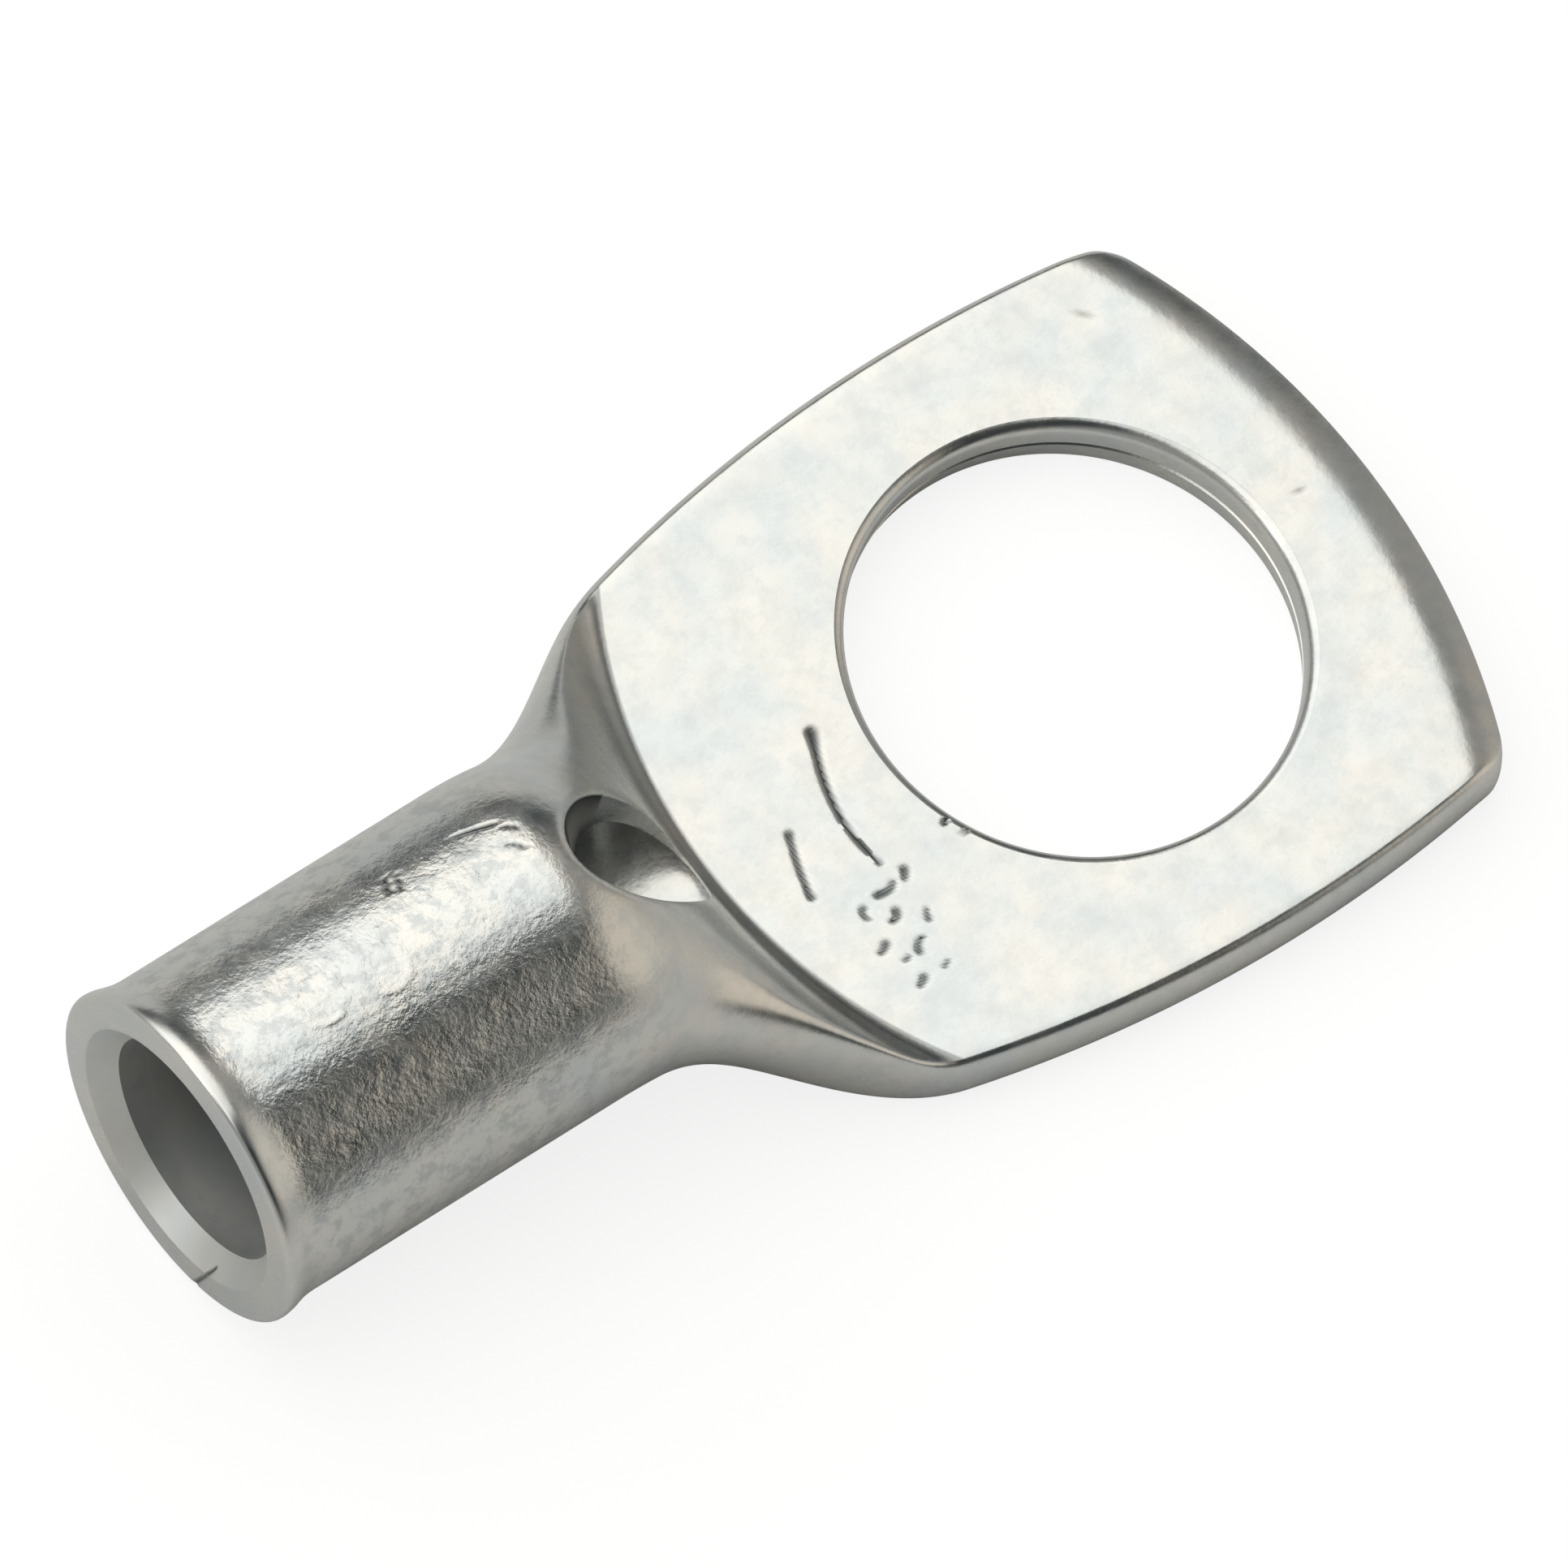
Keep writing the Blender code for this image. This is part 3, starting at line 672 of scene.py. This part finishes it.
def mark_surface(shape, points, inside_count):
    """Press the marks into the lug's skin. Gives the dirt that each point's marks hold, and painted
    shade along the palm's root crease.

    The first inside_count points line the hollow and are left alone.
    """
    grime_and_shade = np.zeros(len(points))
    x, y, z = points.T
    on_palm = (x > shape.root_x) & (z > shape.palm_thickness - LEVEL_MARGIN)
    places = points[on_palm, :2] - (shape.stud_x, 0.0)
    depth, held = press_strokes(places, PALM_STROKES)
    points[on_palm, 2] -= depth
    grime_and_shade[on_palm] = held

    # Painted shade along the crease where the shoulder's slope meets the palm
    crease = shape.root_x + sagitta(shape.root_arc_radius, y)
    on_slope = (x < crease + LEVEL_MARGIN) & (z > shape.palm_thickness - LEVEL_MARGIN)
    grime_and_shade[on_slope] = CREASE_SHADE * dome(crease - x, CREASE_REACH)[on_slope]

    up = z - shape.axis_z
    outside = np.hypot(y, up) > shape.barrel_radius - LEVEL_MARGIN
    start = shape.mouth_x + shape.mouth_flare_length
    on_barrel = outside & (up > 0) & (x > start) & (x < shape.barrel_end_x)
    turn = np.arctan2(y, up)[on_barrel]
    places = np.column_stack([x[on_barrel], turn * shape.barrel_radius])
    depth, held = press_strokes(places, BARREL_STROKES)
    for centre, radius in BARREL_RINGS:
        gap = np.linalg.norm(places - centre, axis=1)
        depth -= RING_HEIGHT * dome(gap - radius, RING_HALF_WIDTH)
        depth -= RING_HEIGHT * dome(gap, RING_HALF_WIDTH)
    points[on_barrel, 1] -= depth * np.sin(turn)
    points[on_barrel, 2] -= depth * np.cos(turn)
    grime_and_shade[on_barrel] = held

    outline = shape.sight_outline()
    near_hole = (abs(x - shape.sight_x) < shape.sight_length) & (abs(y) < shape.sight_width)
    outer = np.arange(len(points)) >= inside_count
    skin = near_hole & outer & (z > shape.palm_thickness - LEVEL_MARGIN)
    gap, _ = distance_to_line(points[skin, :2], np.vstack([outline, outline[:1]]))
    gap[inside_line(points[skin, :2], outline)] *= -1
    inward = np.clip(1 - gap / shape.sight_lip, 0.0, 2.0)
    points[skin, 2] -= SIGHT_LIP_DROP * inward ** 2

    on_cut = x < shape.mouth_x + shape.bore_bevel + LEVEL_MARGIN
    places = np.column_stack([y, up])[on_cut]
    depth, held = press_strokes(places, MOUTH_STROKES)
    points[on_cut, 0] += np.maximum(depth, 0.0)
    grime_and_shade[on_cut] = held
    return grime_and_shade


def make_mesh(name, vertices, faces):
    """A mesh in metres from points in millimetres, with its faces turned outwards."""
    data = bpy.data.meshes.new(name)
    data.from_pydata([tuple(point * MM) for point in vertices], [], faces)
    mesh = bmesh.new()
    mesh.from_mesh(data)
    bmesh.ops.recalc_face_normals(mesh, faces=mesh.faces)
    mesh.to_mesh(data)
    mesh.free()
    return data


def add_object(name, data):
    """A new object that shows a mesh."""
    item = bpy.data.objects.new(name, data)
    bpy.context.scene.collection.objects.link(item)
    return item


def add_cutter(name, points, faces):
    """A closed shape that punch takes out of the lug."""
    return add_object(name, make_mesh(name, points, faces))


def read_values(data, name):
    """A point attribute's value at every point."""
    values = np.empty(len(data.vertices), np.float32)
    data.attributes[name].data.foreach_get("value", values)
    return values


def write_values(data, name, values):
    """Set a point attribute, and make it where there is none of that name."""
    if name not in data.attributes:
        data.attributes.new(name, "FLOAT", "POINT")
    data.attributes[name].data.foreach_set("value", values.astype(np.float32))


def lug_skin(shape):
    """The lug's marked skin before its two holes are punched."""
    rings = shape.rings()
    steps, count = rings.shape[:2]
    points = rings.reshape(-1, 3)
    inside_count = len(shape.hollow_rings()) * count
    grime_and_shade = mark_surface(shape, points, inside_count)
    seam = shape.seam_width / shape.palm_thickness / 2
    seam_rows = [(0.5 - seam, 0.0), (0.5, -shape.seam_depth), (0.5 + seam, 0.0)]
    vertices, faces = loft(points.reshape(steps, count, 3), shape.around, seam_rows)
    data = make_mesh(PIECE, vertices, faces)
    write_values(data, "grime_and_shade", np.append(grime_and_shade, np.zeros(len(vertices) - len(grime_and_shade))))
    write_values(data, "inside", np.arange(len(vertices)) < inside_count)
    return add_object(PIECE, data)


def rim_profile(shape, radius, rim_radius, outer_z, outward):
    """A punched edge in profile, from a flared lead outside the face to the plain bore."""
    lead = shape.palm_thickness
    flare = lead * math.tan(HOLE_RIM_LEAN)
    points = [(radius + rim_radius + flare, outer_z + outward * lead)]
    for turn in spread(HOLE_RIM_LEAN, (np.pi / 2, RIM_STEPS)):
        points.append((radius + rim_radius * (1 - math.sin(turn)),
                       outer_z - outward * rim_radius * (1 - math.cos(turn))))
    return points


def stud_hole_cutter(shape):
    """The punched stud hole: a bore with rounded rims and the fold's seam in its wall."""
    radius = shape.stud_hole / 2
    entry = rim_profile(shape, radius, shape.hole_entry_radius, shape.palm_thickness, 1)
    leave = rim_profile(shape, radius + shape.hole_breakout, shape.hole_exit_radius, 0.0, -1)
    half_seam = shape.seam_width / 2
    seam = [(radius, shape.seam_z + half_seam), (radius + shape.seam_depth, shape.seam_z),
            (radius, shape.seam_z - half_seam)]
    profile = np.array(entry + seam + leave[::-1])
    turn = np.linspace(0.0, 2 * np.pi, HOLE_STEPS, endpoint=False)
    rows, count = len(profile), len(turn)
    points = np.empty((rows, count, 3))
    points[:, :, 0] = shape.stud_x + profile[:, :1] * np.cos(turn)
    points[:, :, 1] = profile[:, :1] * np.sin(turn)
    points[:, :, 2] = profile[:, 1:]
    last = (rows - 1) * count
    faces = row_quads(rows, count) + [list(range(count)), list(range(last, last + count))]
    return add_cutter("stud_hole_cutter", points.reshape(-1, 3), faces)


def sight_hole_cutter(shape):
    """The inspection hole's cutter, which opens from the skin down to the pressed floor.

    The hole was drilled in the round tube. The press then thinned its edge to a lip and leant
    its walls over toward the palm.
    """
    upper = []
    rim = []
    under_lip = []
    lower = []
    foot_x = shape.root_x - shape.sight_foot_to_root
    for x, y in shape.sight_outline():
        z = shape.skin_height(x, y)
        along = (x - shape.sight_x) / shape.sight_length
        across = y / shape.sight_width
        floor_z = mix(shape.sight_floor_low, shape.sight_floor_high, along + 0.5)
        upper.append((x, y, z + SIGHT_CUTTER_RISE))
        rim.append((x, y, z))
        lower.append((foot_x + shape.sight_foot_length * along,
                      shape.sight_foot_width * across, floor_z))
        wall = np.subtract(lower[-1], rim[-1])
        under_lip.append(rim[-1] + wall * SIGHT_LIP_HEIGHT / np.linalg.norm(wall))
    count = len(rim)
    last = 3 * count
    faces = row_quads(4, count)
    middles = [np.mean(upper, axis=0), np.mean(lower, axis=0)]
    pairs = [(name, (name + 1) % count) for name in range(count)]
    faces += [(name, following, 4 * count) for name, following in pairs]
    faces += [(last + name, 4 * count + 1, last + following) for name, following in pairs]
    points = np.vstack([upper, rim, under_lip, lower, middles])
    return add_cutter("inspection_hole_cutter", points, faces)


def punch(item, cutters):
    """Take the cutters out of the item for good, and remove them."""
    for cutter in cutters:
        step = item.modifiers.new(cutter.name, "BOOLEAN")
        step.operation = "DIFFERENCE"
        step.solver = "EXACT"
        step.object = cutter
    bpy.context.view_layer.update()
    graph = bpy.context.evaluated_depsgraph_get()
    data = bpy.data.meshes.new_from_object(item.evaluated_get(graph))
    item.modifiers.clear()
    item.data = data
    for cutter in cutters:
        bpy.data.objects.remove(cutter, do_unlink=True)
    data.shade_smooth()
    data.set_sharp_from_angle(angle=SMOOTH_ANGLE)


def mark_hollow(item, shape):
    """Mark the unpressed bore on the finished mesh, and paint shade in it and under the hole's lip.
    """
    data = item.data
    places = np.empty(3 * len(data.vertices), np.float32)
    data.vertices.foreach_get("co", places)
    x, y, z = places.reshape(-1, 3).T / MM
    along = 2 * (x - shape.sight_x) / shape.sight_length
    across = 2 * y / shape.sight_width
    facing = along * LIP_SHADE_SIDE[0] + across * LIP_SHADE_SIDE[1]
    near = np.flatnonzero(np.hypot(along, across) < LIP_SHADE_SPREAD)
    below = np.array([shape.skin_height(*place) for place in zip(x[near], y[near])]) - z[near]
    lowest = shape.sight_floor_high + LIP_SHADE_CLEARANCE
    under = near[(below > LIP_SHADE_DROP) & (z[near] > lowest)]
    # Painted shade: the hole's walls on the mouth's side darken, where they look into the dark
    # hollow
    grime_and_shade = read_values(data, "grime_and_shade")
    grime_and_shade[under] = np.clip((facing[under] - LIP_SHADE_ONSET) * LIP_SHADE_RISE, 0.0, 1.0)
    write_values(data, "grime_and_shade", grime_and_shade)

    inside = read_values(data, "inside")
    inside[near[below < LIP_SHADE_DROP]] = 0.0
    inside[x > shape.root_x - shape.cavity_to_root + LEVEL_MARGIN] = 0.0
    inside[x < shape.mouth_x + shape.bore_bevel + LEVEL_MARGIN] *= BEVEL_DULLNESS
    write_values(data, "inside", inside)
    # Painted shade in the bore: none at the mouth, full BORE_FADE in, and gone again toward the
    # inspection hole, where light gets in
    in_reach = np.clip((x - shape.mouth_x) / BORE_FADE, 0.0, 1.0)
    lit = np.clip(along + SIGHT_LIT_REACH, 0.0, 1.0)
    write_values(data, "painted_bore_shade", inside * in_reach * (1 - lit))


def linear(hex_colour):
    """An sRGB hex colour as linear red, green, blue and alpha."""
    channels = [int(hex_colour[place:place + 2], 16) / 255 for place in (1, 3, 5)]
    curve = [value / 12.92 if value <= 0.04045 else ((value + 0.055) / 1.055) ** 2.4
             for value in channels]
    return (*curve, 1.0)


def plug(tree, node, links):
    """Give a node's inputs their sources: a plain value, an output, or a node's first in use."""
    for socket, source in links:
        if isinstance(source, bpy.types.Node):
            source = next(output for output in source.outputs if output.enabled)
        if isinstance(source, bpy.types.NodeSocket):
            tree.links.new(source, node.inputs[socket])
        else:
            node.inputs[socket].default_value = source


def add_node(tree, kind, links=(), **settings):
    """A shader node with its settings, plugged as links says."""
    node = tree.nodes.new("ShaderNode" + kind)
    for name, value in settings.items():
        setattr(node, name, value)
    plug(tree, node, links)
    return node


def per_metre(millimetres):
    """The texture scale whose pattern repeats at about this size."""
    return 1 / (millimetres * MM)


def matt_electro_tinned_copper(finish):
    """Copper with a few micrometres of matt tin: a pale metal, softly blurred and grainy.

    The eye gets a broad, slightly broken reflection of the studio, faint warm and cool clouds
    where the bath laid the tin thicker or thinner, dark lines where marks hold dirt, and painted
    shade in the root's crease, under the inspection hole's lip and deep in the bore.
    """
    material = bpy.data.materials.new("matt_electro_tinned_copper")
    material.use_nodes = True
    tree = material.node_tree
    shader = tree.nodes["Principled BSDF"]
    place = add_node(tree, "TexCoord").outputs["Object"]
    clouds = add_node(tree, "TexNoise", [
        ("Vector", place), ("Scale", per_metre(CLOUD_SIZE)), ("Detail", 3.0),
        ("Roughness", 0.55)])
    patches = add_node(tree, "MapRange", [
        ("Value", clouds), ("From Min", CLOUD_RANGE[0]), ("From Max", CLOUD_RANGE[1])])
    tin = add_node(tree, "Mix", [
        ("Factor", patches), ("A", linear(finish.bright_tin)), ("B", linear(finish.cool_tin))],
        data_type="RGBA")
    # One attribute holds the dirt in the marks and the painted shade in the crease and under the
    # lip
    held = add_node(tree, "Attribute", attribute_name="grime_and_shade").outputs["Fac"]
    inside = add_node(tree, "Attribute", attribute_name="inside").outputs["Fac"]

    # The drawn tube keeps its coarse skin on the barrel, and the press smoothed the palm
    along = add_node(tree, "SeparateXYZ", [("Vector", place)]).outputs["X"]
    drawn = add_node(tree, "MapRange", [
        ("Value", along), ("From Min", PRESSED_X * MM), ("From Max", DRAWN_X * MM),
        ("To Min", PALM_COARSENESS), ("To Max", 1.0)])
    speckle = add_node(tree, "TexNoise", [
        ("Vector", place), ("Scale", per_metre(SPOT_SIZE)), ("Detail", 4.0),
        ("Roughness", 0.7)])
    spotted = add_node(tree, "MapRange", [
        ("Value", speckle), ("From Min", SPOT_RANGE[0]), ("From Max", SPOT_RANGE[1])])
    from_cut = add_node(tree, "MapRange", [
        ("Value", along), ("From Min", (LOW.x + CUT_REACH[0]) * MM),
        ("From Max", (LOW.x + CUT_REACH[1]) * MM)])
    reached = add_node(tree, "Math", [
        (0, from_cut), (1, inside)], operation="SUBTRACT", use_clamp=True)
    outer = add_node(tree, "Math", [(0, drawn), (1, reached)], operation="MULTIPLY")
    worn = add_node(tree, "Math", [(0, spotted), (1, outer)], operation="MULTIPLY")
    skin = add_node(tree, "Mix", [
        ("Factor", worn), ("A", tin), ("B", linear(finish.speckle))], data_type="RGBA")

    # Painted shade deep in the bore, fading out toward the mouth and toward the inspection hole,
    # where light gets in
    deep = add_node(tree, "Attribute", attribute_name="painted_bore_shade").outputs["Fac"]
    painted_bore_shade = add_node(tree, "Mix", [
        ("Factor", deep), ("A", skin), ("B", linear(finish.bore_shade))], data_type="RGBA")
    # Dirt in the marks, and painted shade in the crease and under the inspection hole's lip
    colour = add_node(tree, "Mix", [
        ("Factor", held), ("A", painted_bore_shade), ("B", linear(finish.grime_and_shade))], data_type="RGBA")

    bath = add_node(tree, "TexNoise", [
        ("Vector", place), ("Scale", per_metre(BATH_SIZE)), ("Detail", 4.0)])
    gloss = add_node(tree, "MapRange", [
        ("Value", bath), ("From Min", BATH_RANGE[0]), ("From Max", BATH_RANGE[1]),
        ("To Min", finish.roughness - BATH_SMOOTHER),
        ("To Max", finish.roughness + BATH_ROUGHER)])
    rough = add_node(tree, "Mix", [
        ("Factor", inside), ("A", gloss), ("B", finish.inside_roughness)])

    # Tin grains are a few micrometres across, drawn here much larger so that they show
    grain = add_node(tree, "TexNoise", [
        ("Vector", place), ("Scale", per_metre(GRAIN_SIZE)), ("Detail", 2.0)])
    ripple = add_node(tree, "TexNoise", [
        ("Vector", place), ("Scale", per_metre(RIPPLE_SIZE)), ("Detail", 4.0),
        ("Roughness", 0.7)])
    fine = add_node(tree, "Bump", [
        ("Height", grain), ("Strength", outer), ("Distance", GRAIN_DEPTH * MM)])
    coarse = add_node(tree, "Bump", [
        ("Height", ripple), ("Strength", outer), ("Distance", RIPPLE_DEPTH * MM),
        ("Normal", fine)])
    shader.inputs["Metallic"].default_value = 1.0
    plug(tree, shader, [("Base Color", colour), ("Roughness", rough), ("Normal", coarse)])
    return material


class LUG_OT_add_lug(bpy.types.Operator):
    """Build the lug as one fine skin, in place of the plain solid"""

    bl_idname = "cable_lug.add_lug"
    bl_label = "Add Cable Lug"

    def execute(self, context):
        """Loft the skin, punch its holes and give it the tin."""
        settings = context.scene
        shape = LugShape(settings.lug_sizes)
        skin = lug_skin(shape)
        punch(skin, [stud_hole_cutter(shape), sight_hole_cutter(shape)])
        mark_hollow(skin, shape)
        skin.data.materials.append(matt_electro_tinned_copper(settings.lug_finish))
        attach(skin, BODY)
        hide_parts(NODE)
        return {"FINISHED"}


def white_floor(studio):
    """Seamless white paper: matt, and brighter to the camera than the metal sees it."""
    material = bpy.data.materials.new("white_background_paper")
    material.use_nodes = True
    tree = material.node_tree
    tree.nodes.remove(tree.nodes["Principled BSDF"])
    path = add_node(tree, "LightPath").outputs["Is Camera Ray"]
    dim = add_node(tree, "BsdfDiffuse", [("Color", PAPER_REFLECTED)])
    matt = add_node(tree, "BsdfDiffuse", [("Color", PAPER_MATT)])
    glow = add_node(tree, "Emission", [
        ("Color", linear(studio.floor)), ("Strength", PAPER_GLOW)])
    seen = add_node(tree, "AddShader", [(0, matt), (1, glow)])
    choice = add_node(tree, "MixShader", [("Fac", path), (1, dim), (2, seen)])
    plug(tree, tree.nodes["Material Output"], [("Surface", choice)])
    return material


def add_floor(studio):
    """The paper that the lug lies on."""
    half = FLOOR_HALF_WIDTH
    corners = [(-half, -half), (half, -half), (half, half), (-half, half)]
    data = bpy.data.meshes.new("paper_floor")
    data.from_pydata([(x, y, -FLOOR_GAP) for x, y in corners], [], [(0, 1, 2, 3)])
    data.materials.append(white_floor(studio))
    add_object("paper_floor", data)


def add_softbox(name, direction, distance, size, radiance):
    """A rectangular softbox that faces the lug from a direction."""
    light = bpy.data.lights.new(name, "AREA")
    light.shape = "RECTANGLE"
    light.size, light.size_y = size
    light.energy = radiance * light.size * light.size_y * math.pi
    light.color = linear(SOFTBOX_WHITE)[:3]
    item = add_object(name, light)
    aim = Vector(direction).normalized()
    across = Vector((1.0, 0.0, 0.0))
    across = (across - across.dot(aim) * aim).normalized()
    turned = Matrix((across, aim.cross(across), aim)).transposed()
    item.matrix_world = Matrix.Translation(aim * distance) @ turned.to_4x4()
    item.visible_camera = False


def light_world(studio):
    """The dim studio round the softbox, with darker and brighter patches in it."""
    world = bpy.data.worlds.new("studio")
    bpy.context.scene.world = world
    world.use_nodes = True
    tree = world.node_tree
    room = tree.nodes["Background"]
    direction = add_node(tree, "TexCoord").outputs["Generated"]
    colour = linear(ROOM_GREY)
    for place, faded, full, hex_colour in STUDIO_PATCHES:
        towards = add_node(tree, "VectorMath", [
            (0, direction), (1, tuple(Vector(place).normalized()))], operation="DOT_PRODUCT")
        share = add_node(tree, "MapRange", [
            ("Value", towards), ("From Min", faded), ("From Max", full)],
            interpolation_type="SMOOTHSTEP")
        colour = add_node(tree, "Mix", [
            ("Factor", share), ("A", colour), ("B", linear(hex_colour))],
            data_type="RGBA")
    plug(tree, room, [("Color", colour), ("Strength", 1.0)])
    paper = add_node(tree, "Background", [
        ("Color", linear(studio.floor)), ("Strength", 1.0)])
    path = add_node(tree, "LightPath").outputs["Is Camera Ray"]
    choice = add_node(tree, "MixShader", [("Fac", path), (1, room), (2, paper)])
    plug(tree, tree.nodes["World Output"], [("Surface", choice)])


def add_camera(studio, sizes):
    """A very long lens, high on the near side, turned as the photographer held it."""
    azimuth, elevation = studio.azimuth, studio.elevation
    back = Vector((math.sin(azimuth) * math.cos(elevation),
                   -math.cos(azimuth) * math.cos(elevation), math.sin(elevation)))
    right = Vector((math.cos(azimuth), math.sin(azimuth), 0.0))
    up = back.cross(right)
    turned_right = math.cos(studio.roll) * right + math.sin(studio.roll) * up
    turned_up = math.cos(studio.roll) * up - math.sin(studio.roll) * right
    shape = LugShape(sizes)
    target = Vector((shape.stud_x, 0.0, shape.palm_thickness)) * MM
    middle = FRAME_PIXELS / 2
    pixel_size = MM / studio.pixels_per_mm
    aside = (studio.hole_pixel[0] - middle) * pixel_size
    above = (middle - studio.hole_pixel[1]) * pixel_size
    lens = bpy.data.cameras.new("camera")
    lens.sensor_width = SENSOR_WIDTH
    lens.lens = SENSOR_WIDTH * studio.distance / (FRAME_PIXELS * pixel_size)
    lens.clip_end = CAMERA_CLIP_END
    camera = add_object("camera", lens)
    turned = Matrix((turned_right, turned_up, back)).transposed()
    place = target - aside * turned_right - above * turned_up + studio.distance * back
    camera.matrix_world = Matrix.Translation(place) @ turned.to_4x4()
    bpy.context.scene.camera = camera


class LUG_OT_add_studio(bpy.types.Operator):
    """Lay the floor and set up the softbox, the surroundings and the camera"""

    bl_idname = "cable_lug.add_studio"
    bl_label = "Add Studio"

    def execute(self, context):
        """Build the stage, none of which is part of the lug."""
        settings = context.scene
        studio = settings.lug_studio
        add_floor(studio)
        add_softbox("key_softbox", SOFTBOX_DIRECTION, SOFTBOX_DISTANCE, SOFTBOX_SIZE, studio.key)
        add_softbox("fill_softbox", FILL_DIRECTION, FILL_DISTANCE, FILL_SIZE, studio.fill)
        light_world(studio)
        add_camera(studio, settings.lug_sizes)
        settings.view_settings.view_transform = "Standard"
        return {"FINISHED"}


class LUG_PT_panel(bpy.types.Panel):
    """The lug's sizes, finish and studio, and the buttons that build them"""

    bl_idname = "LUG_PT_panel"
    bl_label = "Cable Lug"
    bl_space_type = "VIEW_3D"
    bl_region_type = "UI"
    bl_category = "Cable Lug"

    def draw(self, context):
        """List every setting under its button."""
        scene = context.scene
        for operator, group in ((LUG_OT_add_lug.bl_idname, scene.lug_sizes),
                                (None, scene.lug_finish),
                                (LUG_OT_add_studio.bl_idname, scene.lug_studio)):
            box = self.layout.box()
            if operator:
                box.operator(operator)
            for name in type(group).__annotations__:
                box.prop(group, name)


GROUPS = {"lug_sizes": LugSizes, "lug_finish": LugFinish, "lug_studio": StudioSettings}
CLASSES = (*GROUPS.values(), LUG_OT_add_lug, LUG_OT_add_studio, LUG_PT_panel)


def register():
    """Add the settings, the operators and the panel."""
    for entry in CLASSES:
        bpy.utils.register_class(entry)
    for name, group in GROUPS.items():
        setattr(bpy.types.Scene, name, PointerProperty(type=group))


def unregister():
    """Take them away again."""
    for name in reversed(GROUPS):
        delattr(bpy.types.Scene, name)
    for entry in reversed(CLASSES):
        bpy.utils.unregister_class(entry)


def main():
    """Build the lug and its studio."""
    register()
    bpy.ops.cable_lug.add_lug()
    bpy.ops.cable_lug.add_studio()


if __name__ == "__main__":
    main()
